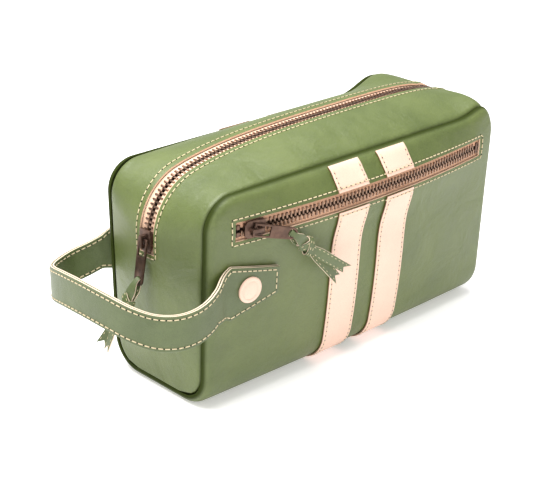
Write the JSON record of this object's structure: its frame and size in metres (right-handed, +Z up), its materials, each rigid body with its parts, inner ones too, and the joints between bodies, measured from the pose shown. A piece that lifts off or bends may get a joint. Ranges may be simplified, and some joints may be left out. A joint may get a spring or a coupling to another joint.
{
  "type": "zippered leather wash bag",
  "caption": "Soft leather wash bag with a zip over its top and left end, a zipped front pocket, contrast stripes, laced zip pulls and a carrying strap at one end.",
  "frame": {"origin": "centre of the flat underside of the base", "axes": "+X along the bag away from the carrying strap, -Y towards the zipped front pocket, +Z up"},
  "size_m": [0.3141, 0.1272, 0.1495],
  "materials": {
    "green_leather": "olive green waxed leather, semi-matt, fine grain",
    "stripe_leather": "smooth pale cream leather, matt",
    "zip_tape": "woven tan cotton tape",
    "antique_brass": "dark antique brass, satin",
    "lining": "plain woven cotton"
  },
  "bodies": {
    "bag": {"wrap_panel": "green_leather", "zip_gusset": "green_leather", "stripe_left_upper": "stripe_leather", "stripe_left_lower": "stripe_leather", "stripe_right_upper": "stripe_leather", "stripe_right_lower": "stripe_leather", "lining_wrap": "lining", "lining_gusset": "lining", "pocket_pouch": "lining", "pocket_zip_tape_upper": "zip_tape", "pocket_zip_tape_lower": "zip_tape", "pocket_zip_teeth_upper": "antique_brass", "pocket_zip_teeth_lower": "antique_brass", "pocket_zip_stop_upper": "antique_brass", "pocket_zip_stop_lower": "antique_brass", "pocket_zip_end_stop": "antique_brass", "top_zip_tape_front": "zip_tape", "top_zip_tape_back": "zip_tape", "top_zip_teeth_front": "antique_brass", "top_zip_teeth_back": "antique_brass", "top_zip_stop_front": "antique_brass", "top_zip_stop_back": "antique_brass", "top_zip_end_stop": "antique_brass", "strap_tab_front": "green_leather", "strap_tab_back": "green_leather", "rivet_disc_front": "stripe_leather", "rivet_disc_back": "stripe_leather", "rivet_post_front": "antique_brass", "rivet_post_back": "antique_brass"},
    "carrying_strap": {"strap_outer_ply": "green_leather", "strap_inner_ply": "green_leather"},
    "pocket_slider": {"pocket_zip_slider": "antique_brass"},
    "pocket_puller": {"pocket_zip_puller": "antique_brass"},
    "pocket_tassel": {"pocket_zip_tassel_loop": "green_leather", "pocket_zip_tassel_knot": "green_leather", "pocket_zip_tassel_tail_upper": "green_leather", "pocket_zip_tassel_tail_lower": "green_leather"},
    "top_slider": {"top_zip_slider": "antique_brass"},
    "top_puller": {"top_zip_puller": "antique_brass"},
    "top_tassel": {"top_zip_tassel_loop": "green_leather", "top_zip_tassel_knot": "green_leather", "top_zip_tassel_tail_upper": "green_leather", "top_zip_tassel_tail_lower": "green_leather"}
  },
  "joints": [
    {"name": "strap_lift", "type": "hinge", "parent": "bag", "child": "carrying_strap", "pos_m": [-0.12538, 0, 0.07465], "axis": [0, 1, 0], "range_deg": [-20, 40]},
    {"name": "pocket_slider_travel", "type": "hinge", "parent": "bag", "child": "pocket_slider", "pos_m": [0, 0.61079, 0.115], "axis": [0, 0, 1], "range_deg": [0, 16]},
    {"name": "pocket_puller_flip", "type": "hinge", "parent": "pocket_slider", "child": "pocket_puller", "pos_m": [-0.09795, -0.05758, 0.11491], "axis": [-0.2555, 0.0846, -0.9631], "range_deg": [0, 150]},
    {"name": "pocket_tassel_swing", "type": "hinge", "parent": "pocket_puller", "child": "pocket_tassel", "pos_m": [-0.07436, -0.06339, 0.10814], "axis": [-0.2444, -0.9695, -0.0203], "range_deg": [-15, 15]},
    {"name": "top_slider_travel", "type": "hinge", "parent": "bag", "child": "top_slider", "pos_m": [-0.092, 0, 0.1005], "axis": [0, 1, 0], "range_deg": [0, 20]},
    {"name": "top_puller_flip", "type": "hinge", "parent": "top_slider", "child": "top_puller", "pos_m": [-0.13385, 0, 0.1017], "axis": [0, 0.9998, 0.0204], "range_deg": [0, 30]},
    {"name": "top_tassel_swing", "type": "hinge", "parent": "top_puller", "child": "top_tassel", "pos_m": [-0.13791, 0.00051, 0.07681], "axis": [-0.9869, -0.0033, 0.1611], "range_deg": [-15, 15]}
  ]
}
